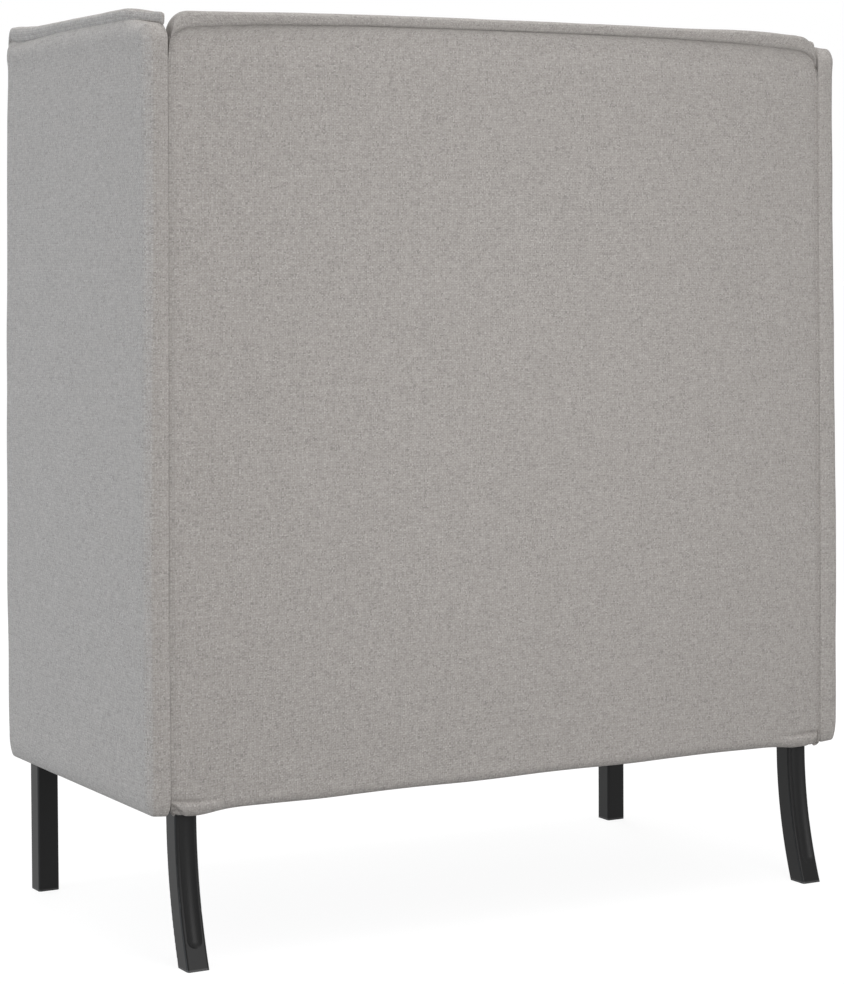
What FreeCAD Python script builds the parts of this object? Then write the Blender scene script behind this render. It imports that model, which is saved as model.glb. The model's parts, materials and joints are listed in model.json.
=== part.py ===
"""High-back sofa with full-height wings on square-tube legs.

Millimetres. +Z is up, the sitter faces -Y and the sitter's left is +X. The
origin is on the floor under the middle of the whole sofa.
"""
import FreeCAD
import Part
import math
import os
import re
import Sketcher

os.makedirs("parts", exist_ok=True)
doc = FreeCAD.newDocument("high_back_sofa")
V = FreeCAD.Vector

# Driving dimensions: one row for each size that is chosen by itself.
SIZES = [
    ("seat_width", 1158),  # clear width between the two wings
    ("wing_setback", 44),  # front of the seat base to the front of the wing
    ("panel_height", 1153),  # underside of the panels to their tops
    ("underside_height", 228),  # floor to the underside of the panels
    ("seat_base_depth", 528.5),
    ("cushion_overhang", 9),  # cushion in front of the seat base
    ("heel_overhang", 18),  # rear feet behind the back panel
    ("joint_gap", 0.5),  # between two upholstered units
    ("cover_thickness", 2),
    ("pad_fit", 0.2),  # pad inside its cover
    ("band_height", 18),
    ("band_radius", 13),
    ("panel_crown", 4),  # bulge of the outside faces
    ("hem_radius", 14),  # rounding along the lower edges
    ("wing_board", 19),
    ("wing_pad", 8),
    ("wing_corner", 27),  # rear outer corner of the wing
    ("wing_edge", 7),  # the other upright corners of the wing
    ("edge_pad", 4),  # padding on the narrow edges of a frame
    ("top_pad", 14),  # padding on the upper edges of a frame
    ("post_width", 50),
    ("rail_height", 50),
    ("wing_bottom_rail", 95),
    ("arm_rail_height", 420),  # underside to the arm rail
    ("back_board", 30),
    ("back_pad", 8),  # outside of the back
    ("back_foam", 38),  # inside of the back
    ("back_corner", 30),  # top corners of the back
    ("back_edge", 9),  # upright edges of the back
    ("back_bottom_rail", 92),
    ("middle_rail_height", 560),  # underside to the middle rail
    ("seat_rail_height", 95),
    ("seat_rail_thickness", 22),
    ("base_pad", 8),
    ("base_corner", 10),
    ("block_length", 90),
    ("block_height", 70),
    ("centre_rail_height", 62),
    ("strap_width", 60),
    ("strap_thickness", 2),
    ("strap_gap", 0.3),
    ("lengthwise_straps", 7),
    ("crosswise_straps", 3),
    ("back_straps", 5),
    ("strap_lap", 18),  # strap end on its rail
    ("deck_thickness", 1.5),
    ("dust_thickness", 1),
    ("cushion_thickness", 106),
    ("cushion_crown", 14),
    ("cushion_side_gap", 4),
    ("cushion_bulge", 5),
    ("cushion_corner", 20),
    ("tube_width", 35),
    ("tube_wall", 2),
    ("tube_corner", 4),
    ("leg_inset", 54),  # outer face of the wing to the leg
    ("front_leg_setback", 12.5),
    ("rear_leg_setback", 23),  # rear of the back to the top of the rear leg
    ("channel_width", 24),
    ("channel_depth", 4),
    ("channel_end", 47),  # floor to the centre of the channel's round end
    ("plate_width", 90),
    ("plate_thickness", 4),
    ("plate_margin", 4),
    ("plate_corner", 8),
    ("hole_near", 14),  # plate holes, from its outer corner
    ("hole_side", 24),
    ("hole_middle", 50),
    ("hole_far", 76),
    ("glide_flange", 3),
    ("glide_plug", 14),
    ("glide_fit", 0.2),
    ("screw_radius", 2.5),
    ("screw_length", 32),
    ("screw_head_radius", 5),
    ("screw_head_height", 3.5),
    ("hole_clearance", 0.25),
    ("bolt_radius", 4),
    ("bolt_length", 45),
    ("bolt_head_radius", 6.5),
    ("bolt_head_height", 6),
    ("bolt_flange_radius", 8.5),
    ("bolt_flange_height", 1.6),
    ("socket_width", 6),
    ("socket_depth", 4),
    ("bolt_height", 60),  # underside to the bolts
    ("bolt_from_end", 140),  # seat base ends to the wing bolts
    ("bolt_spacing", 250),  # between the back bolts
    ("insert_radius", 6),
    ("insert_length", 13),
    ("dowel_radius", 5),
    ("dowel_depth", 13),
    ("dowel_low", 200),  # underside to the lowest dowel
    ("dowel_spacing", 380),
]

# Positions that follow from the driving dimensions.
DERIVED = [
    ("half_seat", "seat_width / 2"),
    ("wing_thickness", "wing_board + 2 * (wing_pad + cover_thickness)"),
    ("half_width", "half_seat + wing_thickness"),
    ("back_thickness", "back_board + back_pad + back_foam + 2 * cover_thickness"),
    ("whole_depth", "cushion_overhang + seat_base_depth + joint_gap + back_thickness + heel_overhang"),
    ("heel", "whole_depth / 2"),
    ("back_rear", "heel - heel_overhang"),
    ("back_front", "back_rear - back_thickness"),
    ("base_rear", "back_front - joint_gap"),
    ("base_front", "base_rear - seat_base_depth"),
    ("cushion_front", "base_front - cushion_overhang"),
    ("wing_front", "base_front + wing_setback"),
    ("panel_top", "underside_height + panel_height"),
    ("band_base", "panel_top - band_height"),
    ("wing_slab_front", "wing_front + band_height"),
    ("board_in", "half_seat + cover_thickness + wing_pad"),
    ("board_out", "board_in + wing_board"),
    ("board_front", "wing_slab_front + cover_thickness + edge_pad"),
    ("board_rear", "back_rear - cover_thickness - back_pad"),
    ("wing_board_rear", "board_rear - edge_pad"),
    ("board_low", "underside_height + cover_thickness + edge_pad"),
    ("board_high", "band_base - cover_thickness - top_pad"),
    ("half_back", "half_seat - joint_gap"),
    ("stile_out", "half_back - cover_thickness - edge_pad"),
    ("stile_in", "stile_out - post_width"),
    ("back_board_front", "board_rear - back_board"),
    ("back_rail_top", "board_low + back_bottom_rail"),
    ("back_rail_front", "back_front + panel_crown + cover_thickness + pad_fit"),
    ("frame_half", "half_seat - joint_gap - cover_thickness"),
    ("frame_front", "base_front + cover_thickness + base_pad"),
    ("frame_rear", "base_rear - cover_thickness"),
    ("frame_top", "underside_height + seat_rail_height"),
    ("frame_in", "frame_half - seat_rail_thickness"),
    ("deck_low", "frame_top + 2 * strap_thickness + 2 * strap_gap"),
    ("deck_high", "deck_low + deck_thickness"),
    ("cushion_low", "deck_high + strap_gap"),
    ("cushion_half", "half_seat - cushion_side_gap"),
    ("plate_low", "underside_height - dust_thickness - plate_thickness"),
    ("tube_half", "tube_width / 2"),
    ("bore_half", "tube_half - tube_wall"),
    ("bore_corner", "tube_corner - tube_wall"),
    ("tube_length", "plate_low - glide_flange"),
    ("plug_half", "bore_half - glide_fit"),
    ("leg_x", "half_width - leg_inset - tube_half"),
    ("front_leg_y", "base_front + front_leg_setback + tube_half"),
    ("bend_drop", "heel_overhang + rear_leg_setback"),
    ("bend_radius", "(plate_low ^ 2 + bend_drop ^ 2) / (2 * bend_drop)"),
    ("bend_axis", "back_rear - rear_leg_setback + bend_radius"),
    ("rear_leg_y", "back_rear - rear_leg_setback - tube_half"),
    ("channel_radius", "(channel_width ^ 2 / 4 + channel_depth ^ 2) / (2 * channel_depth)"),
    ("channel_path", "bend_radius + channel_depth - channel_radius"),
    ("channel_drop", "plate_low - channel_end"),
    ("channel_end_y", "bend_axis - sqrt(channel_path ^ 2 - channel_drop ^ 2)"),
    ("channel_angle", "asin(channel_drop / channel_path) / 1deg"),
    ("bend_angle", "asin(plate_low / bend_radius) / 1deg + 3"),
    ("plate_half", "plate_width / 2"),
    ("plate_x", "leg_x + tube_half + plate_margin"),
    ("front_plate_y", "front_leg_y - tube_half - plate_margin"),
    ("rear_plate_y", "rear_leg_y + tube_half + plate_margin"),
    ("bolt_z", "underside_height + bolt_height"),
    ("dowel_y", "back_board_front + back_board / 2"),
    ("dowel_start", "stile_out - dowel_depth"),
    ("dowel_length", "board_in + dowel_depth - dowel_start"),
]

NAMES = {alias for alias, value in SIZES + DERIVED}
sheet = doc.addObject("Spreadsheet::Sheet", "sizes")
for row, (alias, value) in enumerate(SIZES + DERIVED, start=1):
    text = "=" + value if isinstance(value, str) else str(value)
    sheet.set(f"A{row}", alias)
    sheet.set(f"B{row}", text)
    sheet.setAlias(f"B{row}", alias)
doc.recompute()


def size(alias):
    """Number in the sheet under this alias."""
    return float(sheet.get(alias))


def bound(obj, prop, formula):
    """Bind a property to a formula of the sheet's aliases."""

    def cell(word):
        return "sizes." + word.group() if word.group() in NAMES else word.group()

    obj.setExpression(prop, re.sub(r"[a-z_]+", cell, formula))


def at(obj, x, y, z):
    """Bind the position of an object."""
    bound(obj, "Placement.Base.x", x)
    bound(obj, "Placement.Base.y", y)
    bound(obj, "Placement.Base.z", z)


def block(name, x, y, z):
    """Board between two planes on each axis; each argument is a pair of formulas."""
    box = doc.addObject("Part::Box", name)
    for prop, (low, high) in (("Length", x), ("Width", y), ("Height", z)):
        bound(box, prop, f"({high}) - ({low})")
    at(box, x[0], y[0], z[0])
    return box


TURN = {
    "x": FreeCAD.Rotation(V(0, 1, 0), 90),
    "y": FreeCAD.Rotation(V(1, 0, 0), -90),
    "z": FreeCAD.Rotation(),
}


def rod(name, axis, radius, length, x, y, z):
    """Cylinder along an axis from a bound starting point."""
    cylinder = doc.addObject("Part::Cylinder", name)
    bound(cylinder, "Radius", radius)
    bound(cylinder, "Height", length)
    cylinder.Placement.Rotation = TURN[axis]
    at(cylinder, x, y, z)
    return cylinder


def fused(name, shapes):
    result = doc.addObject("Part::MultiFuse", name)
    result.Shapes = shapes
    return result


def shared(name, shapes):
    """What several objects have in common."""
    result = doc.addObject("Part::MultiCommon", name)
    result.Shapes = shapes
    return result


def group(name, shapes):
    """Separate solids kept together."""
    result = doc.addObject("Part::Compound", name)
    result.Links = shapes
    return result


def cut(name, base, tool):
    result = doc.addObject("Part::Cut", name)
    result.Base = base
    result.Tool = tool
    return result


def mirrored(source, name):
    """The right-hand copy of a left-hand object."""
    result = doc.addObject("Part::Mirroring", name)
    result.Source = source
    result.Normal = V(1, 0, 0)
    result.Base = V(0, 0, 0)
    return result


def soft(name, shape):
    """Upholstered form, whose crowned shape is worked out from the sheet."""
    feature = doc.addObject("Part::Feature", name)
    feature.Shape = shape
    return feature


nodes = []


def node(obj):
    """Hand in an object under its own name."""
    obj.Label = obj.Name
    nodes.append(obj)
    return obj


def pair(left, right_name):
    """Hand in a left-hand piece and its mirrored twin."""
    node(left)
    node(mirrored(left, right_name))


def both_sides(left_objects):
    """Left-hand objects followed by their mirrored copies."""
    return left_objects + [mirrored(obj, obj.Name + "_right") for obj in left_objects]


# Leg screws and their pilot holes. Three screws hold each plate; two of the
# rear ones reach into the back's bottom rail and tie it to the seat base.
screws = []
pilots = []
hole_places = [
    ("hole_far", "hole_near"),
    ("hole_side", "hole_far"),
    ("hole_middle", "hole_middle"),
]
for end, edge in (("front", "front_plate_y + "), ("rear", "rear_plate_y - ")):
    for count, (across, along) in enumerate(hole_places):
        tag = f"{end}_{count}"
        x = "plate_x - " + across
        y = edge + along
        low = "plate_low - screw_head_height"
        shank = rod("shank_" + tag, "z", "screw_radius", "screw_length", x, y, "plate_low")
        head = rod("head_" + tag, "z", "screw_head_radius", "screw_head_height", x, y, low)
        screws.append(fused("screw_" + tag, [shank, head]))
        wide = "screw_radius + hole_clearance"
        deep = "screw_length + hole_clearance"
        pilots.append(rod("pilot_" + tag, "z", wide, deep, x, y, "plate_low"))
node(group("leg_screws", both_sides(screws)))
pilots = both_sides(pilots)
pilot_tool = group("pilot_tool", pilots)


def panel_bolt(tag, axis, seat, board, cross):
    """Flanged socket bolt through a seat rail into a threaded insert in a panel.

    seat is the rail's inner face and board the panel's board, both along the
    axis; cross is the place on the other level axis.
    """

    def run(name, radius, low, length):
        x, y = (low, cross) if axis == "x" else (cross, low)
        return rod(f"{name}_{tag}", axis, radius, length, x, y, "bolt_z")

    flange_low = f"{seat} - bolt_flange_height"
    head_low = f"{flange_low} - bolt_head_height"
    turned = [
        run("bolt_shank", "bolt_radius", seat, "bolt_length"),
        run("bolt_flange", "bolt_flange_radius", flange_low, "bolt_flange_height"),
        run("bolt_head", "bolt_head_radius", head_low, "bolt_head_height"),
    ]
    socket = doc.addObject("Part::Prism", "socket_" + tag)
    socket.Polygon = 6
    bound(socket, "Circumradius", "socket_width / sqrt(3)")
    bound(socket, "Height", "socket_depth")
    socket.Placement.Rotation = TURN[axis]
    x, y = (head_low, cross) if axis == "x" else (cross, head_low)
    at(socket, x, y, "bolt_z")
    bolt = cut("bolt_" + tag, fused("bolt_blank_" + tag, turned), socket)
    clear = "bolt_radius + hole_clearance"
    sleeve = run("sleeve", "insert_radius", board, "insert_length")
    insert = cut("insert_" + tag, sleeve, run("bore", clear, board, "insert_length"))
    wide = "insert_radius + hole_clearance"
    holes = [
        run("bolt_hole", clear, seat, "bolt_length + hole_clearance"),
        run("insert_hole", wide, board, "insert_length"),
    ]
    return bolt, insert, holes


wing_rows = ["base_front + bolt_from_end", "base_rear - bolt_from_end"]
side_made = [
    panel_bolt(f"wing_{count}", "x", "frame_in", "board_in", row)
    for count, row in enumerate(wing_rows)
]
rear_seat = "frame_rear - seat_rail_thickness"
rear_board = "back_rail_front"
back_columns = [f"{count - 1.5} * bolt_spacing" for count in range(4)]
back_made = [
    panel_bolt(f"back_{count}", "y", rear_seat, rear_board, column)
    for count, column in enumerate(back_columns)
]
bolts = both_sides([made[0] for made in side_made]) + [made[0] for made in back_made]
inserts = both_sides([made[1] for made in side_made]) + [made[1] for made in back_made]
side_holes = both_sides([hole for made in side_made for hole in made[2]])
back_holes = [hole for made in back_made for hole in made[2]]
node(group("panel_bolts", bolts))
node(group("panel_inserts", inserts))
side_tool = group("side_tool", side_holes)
back_tool = group("back_tool", back_holes + pilots)

# Dowels that line the wings up with the back.
dowels = []
dowel_holes = []
for count in range(3):
    z = f"underside_height + dowel_low + {count} * dowel_spacing"
    place = ("dowel_start", "dowel_y", z)
    dowels.append(rod(f"dowel_{count}", "x", "dowel_radius", "dowel_length", *place))
    wide = "dowel_radius + hole_clearance"
    dowel_holes.append(rod(f"dowel_hole_{count}", "x", wide, "dowel_length", *place))
node(group("panel_dowels", both_sides(dowels)))
dowel_tool = group("dowel_tool", both_sides(dowel_holes))

# Wing frames: two posts and three rails of board each.
board_x = ("board_in", "board_out")
tall = ("board_low", "board_high")
post_rear = "board_front + post_width"
post_front = "wing_board_rear - post_width"
between = (post_rear, post_front)
arm_low = "board_low + arm_rail_height"
pair(
    block("left_wing_front_post", board_x, ("board_front", post_rear), tall),
    "right_wing_front_post",
)
blank = block("wing_rear_post_blank", board_x, (post_front, "wing_board_rear"), tall)
pair(cut("left_wing_rear_post", blank, dowel_tool), "right_wing_rear_post")
pair(
    block("left_wing_top_rail", board_x, between, ("board_high - rail_height", "board_high")),
    "right_wing_top_rail",
)
pair(
    block("left_wing_arm_rail", board_x, between, (arm_low, arm_low + " + rail_height")),
    "right_wing_arm_rail",
)
bottom_z = ("board_low", "board_low + wing_bottom_rail")
blank = block("wing_bottom_rail_blank", board_x, between, bottom_z)
pair(cut("left_wing_bottom_rail", blank, side_tool), "right_wing_bottom_rail")

# Back frame: stiles and rails, the bottom rail as deep as the foam in front.
board_y = ("back_board_front", "board_rear")
inside = ("-stile_in", "stile_in")
stile_z = ("back_rail_top", "board_high - rail_height")
blank = block("stile_blank", ("stile_in", "stile_out"), board_y, stile_z)
pair(cut("back_stile_left", blank, dowel_tool), "back_stile_right")
top_x = ("back_corner - half_back", "half_back - back_corner")
node(block("back_top_rail", top_x, board_y, ("board_high - rail_height", "board_high")))
middle_low = "board_low + middle_rail_height"
node(block("back_middle_rail", inside, board_y, (middle_low, middle_low + " + rail_height")))
blank = block(
    "back_rail_blank",
    ("back_edge - stile_out", "stile_out - back_edge"),
    ("back_rail_front", "board_rear"),
    ("board_low", "back_rail_top"),
)
node(cut("back_bottom_rail", blank, back_tool))

# Seat base frame: four rails, a centre rail and glued corner blocks.
frame_z = ("underside_height", "frame_top")
front_in = "frame_front + seat_rail_thickness"
rear_in = "frame_rear - seat_rail_thickness"
frame_x = ("-frame_half", "frame_half")
blank = block("front_rail_blank", frame_x, ("frame_front", front_in), frame_z)
node(cut("seat_front_rail", blank, pilot_tool))
blank = block("rear_rail_blank", frame_x, (rear_in, "frame_rear"), frame_z)
node(cut("seat_rear_rail", blank, back_tool))
blank = block("side_rail_blank", ("frame_in", "frame_half"), (front_in, rear_in), frame_z)
pair(cut("seat_side_rail_left", blank, side_tool), "seat_side_rail_right")
half_rail = "seat_rail_thickness / 2"
centre_z = ("underside_height", "underside_height + centre_rail_height")
node(block("seat_centre_rail", ("-" + half_rail, half_rail), (front_in, rear_in), centre_z))
blocks = []
for end, place, turn in (
    ("front", ("-frame_in", front_in, "underside_height"), 0),
    ("rear", ("-frame_in", rear_in, "underside_height + block_height"), 180),
):
    wedge = doc.addObject("Part::Wedge", "block_" + end)
    for prop in ("Xmin", "Ymin", "Zmin", "X2min", "X2max", "Z2min"):
        setattr(wedge, prop, 0)
    for prop in ("Xmax", "Ymax"):
        bound(wedge, prop, "block_length")
    for prop in ("Zmax", "Z2max"):
        bound(wedge, prop, "block_height")
    wedge.Placement.Rotation = FreeCAD.Rotation(V(1, 0, 0), turn)
    at(wedge, *place)
    blocks.append(wedge)
node(cut("seat_corner_blocks", group("block_blanks", both_sides(blocks)), pilot_tool))


# Legs


def square_loop(sketch, prefix, half, corner):
    """Square with round corners about the sketch's origin, bound to two aliases."""
    h = size(half)
    r = size(corner)
    first = sketch.GeometryCount
    for turn in range(4):
        c = round(math.cos(turn * math.pi / 2))
        s = round(math.sin(turn * math.pi / 2))
        start = V(c * (r - h) + s * h, s * (r - h) - c * h, 0)
        end = V(c * (h - r) + s * h, s * (h - r) - c * h, 0)
        centre = V((c + s) * (h - r), (s - c) * (h - r), 0)
        angle = (turn - 1) * math.pi / 2
        circle = Part.Circle(centre, V(0, 0, 1), r)
        sketch.addGeometry(Part.LineSegment(start, end), False)
        sketch.addGeometry(Part.ArcOfCircle(circle, angle, angle + math.pi / 2), False)
    for turn in range(4):
        line = first + 2 * turn
        following = first + (2 * turn + 2) % 8
        sketch.addConstraint(Sketcher.Constraint("Tangent", line, 2, line + 1, 1))
        sketch.addConstraint(Sketcher.Constraint("Tangent", line + 1, 2, following, 1))
        level = "Vertical" if turn % 2 else "Horizontal"
        sketch.addConstraint(Sketcher.Constraint(level, line))
        if turn:
            sketch.addConstraint(Sketcher.Constraint("Equal", first + 1, line + 1))
    measures = [
        ("front", half, Sketcher.Constraint("DistanceY", first, 1, -1, 1, h)),
        ("left", half, Sketcher.Constraint("DistanceX", -1, 1, first + 2, 1, h)),
        ("rear", half, Sketcher.Constraint("DistanceY", -1, 1, first + 4, 1, h)),
        ("right", half, Sketcher.Constraint("DistanceX", first + 6, 1, -1, 1, h)),
        ("corner", corner, Sketcher.Constraint("Radius", first + 1, r)),
    ]
    for name, alias, constraint in measures:
        index = sketch.addConstraint(constraint)
        sketch.renameConstraint(index, prefix + name)
        bound(sketch, f"Constraints.{prefix}{name}", alias)


def padded_body(name, place, pads):
    """Body of square pads that all start on its own XY plane.

    Each pad is a length and the loops of its sketch, as pairs of aliases.
    """
    body = doc.addObject("PartDesign::Body", name)
    plane = [f for f in body.Origin.OriginFeatures if f.Role == "XY_Plane"][0]
    for count, (length, loops) in enumerate(pads):
        sketch = body.newObject("Sketcher::SketchObject", f"{name}_sketch_{count}")
        sketch.AttachmentSupport = [(plane, "")]
        sketch.MapMode = "FlatFace"
        for loop, (half, corner) in enumerate(loops):
            square_loop(sketch, f"loop{loop}_", half, corner)
        feature = body.newObject("PartDesign::Pad", f"{name}_pad_{count}")
        feature.Profile = sketch
        bound(feature, "Length", length)
        body.Tip = feature
    at(body, *place)
    return body


tube_loops = [("tube_half", "tube_corner"), ("bore_half", "bore_corner")]
front_foot = ("leg_x", "front_leg_y", "glide_flange")
pair(padded_body("front_leg_left", front_foot, [("tube_length", tube_loops)]), "front_leg_right")


def bent_bar(name, half, corner):
    """Square bar that follows the bend of the rear leg down past the floor."""
    sketch = doc.addObject("Sketcher::SketchObject", name + "_section")
    square_loop(sketch, "bar_", half, corner)
    at(sketch, "leg_x", "rear_leg_y", "plate_low")
    bar = doc.addObject("Part::Revolution", name)
    bar.Source = sketch
    bar.Axis = V(1, 0, 0)
    bar.Solid = True
    bound(bar, "Base.y", "bend_axis")
    bound(bar, "Base.z", "plate_low")
    bound(bar, "Angle", "bend_angle")
    return bar


def channel(name, radius):
    """Round-bottomed channel along the rear face of the bent leg, with a round end."""
    run = doc.addObject("Part::Torus", name + "_run")
    bound(run, "Radius1", "channel_path")
    bound(run, "Radius2", radius)
    bound(run, "Angle3", "channel_angle")
    run.Placement.Rotation = FreeCAD.Rotation(V(0, -1, 0), V(0, 0, -1), V(1, 0, 0))
    at(run, "leg_x", "bend_axis", "plate_low")
    end = doc.addObject("Part::Sphere", name + "_end")
    bound(end, "Radius", radius)
    at(end, "leg_x", "channel_end_y", "channel_end")
    return fused(name, [run, end])


def slice_of(name, bar, low, high):
    """Level slice of a bent bar."""
    x = ("leg_x - tube_width", "leg_x + tube_width")
    y = ("rear_leg_y - tube_width", "heel + tube_width")
    return shared(name, [bar, block(name + "_level", x, y, (low, high))])


outer_bar = bent_bar("outer_bar", "tube_half", "tube_corner")
bore_bar = bent_bar("bore_bar", "bore_half", "bore_corner")
plug_bar = bent_bar("plug_bar", "plug_half", "bore_corner")
channel_wall = shared("channel_wall", [outer_bar, channel("pressed_wall", "channel_radius + tube_wall")])
bent_tube = fused("bent_tube", [cut("plain_tube", outer_bar, bore_bar), channel_wall])
pressed_tube = cut("pressed_tube", bent_tube, channel("pressed_hollow", "channel_radius"))
pair(slice_of("rear_leg_left", pressed_tube, "glide_flange", "plate_low"), "rear_leg_right")

front_glide = padded_body(
    "front_glide",
    ("leg_x", "front_leg_y", "0"),
    [
        ("glide_flange", [("tube_half", "tube_corner")]),
        ("glide_flange + glide_plug", [("plug_half", "bore_corner")]),
    ],
)
rear_flange = slice_of("rear_flange", outer_bar, "0", "glide_flange")
rear_plug = slice_of("rear_plug", plug_bar, "glide_flange", "glide_flange + glide_plug")
rear_glide = fused("rear_glide", [rear_flange, rear_plug])
node(group("front_leg_glides", both_sides([front_glide])))
node(group("rear_leg_glides", both_sides([rear_glide])))
for end, y in (("front", "front_plate_y + plate_half"), ("rear", "rear_plate_y - plate_half")):
    place = ("plate_x - plate_half", y, "plate_low")
    plain = padded_body(end + "_plate", place, [("plate_thickness", [("plate_half", "plate_corner")])])
    drilled = cut(end + "_plate_drilled", plain, pilot_tool)
    node(group(end + "_leg_plates", both_sides([drilled])))


# Seat suspension


def strap(low, high, crossings):
    """Side outline of a woven strap, as points along it and up from the frame.

    crossings are the middles of the straps it passes over.
    """
    t = size("strap_thickness")
    rise = t + size("strap_gap")
    half = size("strap_width") / 2
    ramp = 4 * t
    under = [(low, 0)]
    for middle in crossings:
        under += [(middle - half - ramp, 0), (middle - half, rise)]
        under += [(middle + half, rise), (middle + half + ramp, 0)]
    under.append((high, 0))
    return under + [(along, up + t) for along, up in reversed(under)]


frame_in = size("frame_in")
strap_front = size("frame_front") + size("seat_rail_thickness") - size("strap_lap")
strap_rear = size("frame_rear") - size("seat_rail_thickness") + size("strap_lap")
strap_width = size("strap_width")
top = size("frame_top")
length_count = round(size("lengthwise_straps"))
cross_count = round(size("crosswise_straps"))
columns = [frame_in * (2 * i + 1 - length_count) / length_count for i in range(length_count)]
span = strap_rear - strap_front
rows = [strap_front + span * (j + 1) / (cross_count + 1) for j in range(cross_count)]
lengthwise = []
for i, x in enumerate(columns):
    over = [y for j, y in enumerate(rows) if (i + j) % 2 == 0]
    points = [V(x - strap_width / 2, y, top + z) for y, z in strap(strap_front, strap_rear, over)]
    face = Part.Face(Part.makePolygon(points + points[:1]))
    lengthwise.append(face.extrude(V(strap_width, 0, 0)))
crosswise = []
for j, y in enumerate(rows):
    over = [x for i, x in enumerate(columns) if (i + j) % 2 == 1]
    reach = frame_in + size("strap_lap")
    points = [V(x, y - strap_width / 2, top + z) for x, z in strap(-reach, reach, over)]
    face = Part.Face(Part.makePolygon(points + points[:1]))
    crosswise.append(face.extrude(V(0, strap_width, 0)))
node(soft("seat_webbing_lengthwise", Part.makeCompound(lengthwise)))
node(soft("seat_webbing_crosswise", Part.makeCompound(crosswise)))

back_straps = []
strap_count = round(size("back_straps"))
for i in range(strap_count):
    middle = f"stile_in * {2 * i + 1 - strap_count} / back_straps"
    back_straps.append(
        block(
            f"back_strap_{i}",
            (middle + " - strap_width / 2", middle + " + strap_width / 2"),
            ("back_board_front - strap_thickness", "back_board_front"),
            ("back_rail_top", "board_high - rail_height + strap_lap"),
        )
    )
node(group("back_webbing", back_straps))
frame_y = ("frame_front", "frame_rear")
node(block("seat_deck_cloth", frame_x, frame_y, ("deck_low", "deck_high")))
dust_y = ("frame_front", "board_rear")
dust_z = ("underside_height - dust_thickness", "underside_height")
node(cut("dust_cover", block("dust_blank", frame_x, dust_y, dust_z), pilot_tool))


# Upholstery

AXES = {"xy": V(0, 0, 1), "xz": V(0, 1, 0), "yz": V(1, 0, 0)}


def on_plane(plane, u, v):
    if plane == "xy":
        return V(u, v, 0)
    return V(u, 0, v) if plane == "xz" else V(0, u, v)


def face_of(plane, corners):
    """Four-sided face, counter-clockwise from the low corner.

    Each corner is u, v, its radius and the outward bulge of the side after it.
    """
    count = len(corners)
    starts = []
    edges = []
    for i, (u, v, radius, bulge) in enumerate(corners):
        before = corners[i - 1]
        after = corners[(i + 1) % count]
        back = math.hypot(before[0] - u, before[1] - v)
        ahead = math.hypot(after[0] - u, after[1] - v)
        a = (u + (before[0] - u) * radius / back, v + (before[1] - v) * radius / back)
        b = (u + (after[0] - u) * radius / ahead, v + (after[1] - v) * radius / ahead)
        starts.append((a, b))
    for i, (u, v, radius, bulge) in enumerate(corners):
        a, b = starts[i]
        c = starts[(i + 1) % count][0]
        if radius:
            centre = (a[0] + b[0] - u, a[1] + b[1] - v)
            middle = tuple(centre[k] + ((u, v)[k] - centre[k]) * math.sqrt(0.5) for k in (0, 1))
            arc = Part.Arc(on_plane(plane, *a), on_plane(plane, *middle), on_plane(plane, *b))
            edges.append(arc.toShape())
        if bulge:
            length = math.hypot(c[0] - b[0], c[1] - b[1])
            out = ((c[1] - b[1]) / length * bulge, (b[0] - c[0]) / length * bulge)
            middle = ((b[0] + c[0]) / 2 + out[0], (b[1] + c[1]) / 2 + out[1])
            side = Part.Arc(on_plane(plane, *b), on_plane(plane, *middle), on_plane(plane, *c))
            edges.append(side.toShape())
        else:
            edges.append(Part.LineSegment(on_plane(plane, *b), on_plane(plane, *c)).toShape())
    return Part.Face(Part.Wire(edges))


def prism(plane, corners, low, high):
    """Four-sided face carried between two planes on the third axis."""
    face = face_of(plane, corners)
    face.translate(AXES[plane] * low)
    return face.extrude(AXES[plane] * (high - low))


def region(x, y, z):
    """Plain box between numbers."""
    return Part.makeBox(x[1] - x[0], y[1] - y[0], z[1] - z[0], V(x[0], y[0], z[0]))


FAR = 4 * size("panel_top")
half_seat = size("half_seat")
half_width = size("half_width")
half_back = size("half_back")
back_rear = size("back_rear")
back_front = size("back_front")
underside = size("underside_height")
band_base = size("band_base")
panel_top = size("panel_top")
band_radius = size("band_radius")
cover = size("cover_thickness")
pad_inset = cover + size("pad_fit")
crown = size("panel_crown")
hem = size("hem_radius")
wing_front = size("wing_front")
slab_front = size("wing_slab_front")
board_in = size("board_in")
board_out = size("board_out")


def less(radius, inset):
    """Corner radius of an outline drawn inside another."""
    return max(radius - inset, 1)


def wing_form(inset, front, top, top_radius):
    """Left wing drawn in by an inset: crowned outside, rounded corners and hem."""
    x0 = half_seat + inset
    x1 = half_width - inset
    y0 = front + inset
    y1 = back_rear - inset
    z0 = underside + inset
    z1 = top - inset
    edge = less(size("wing_edge"), inset)
    corner = less(size("wing_corner"), inset)
    low = less(hem, inset)
    plan = [(x0, y0, edge, 0), (x1 - crown, y0, edge, crown)]
    plan += [(x1 - crown, y1, corner, 0), (x0, y1, edge, 0)]
    clear = x1 + crown
    end = [(x0, z0, edge, 0), (clear, z0, low + crown, 0), (clear, z1, 0, 0), (x0, z1, 0, 0)]
    side = [(y0, z0, low, 0), (y1, z0, low, 0), (y1, z1, top_radius, 0), (y0, z1, 0, 0)]
    form = prism("xy", plan, z0, z1)
    form = form.common(prism("xz", end, y0, y1))
    return form.common(prism("yz", side, x0, clear))


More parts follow.
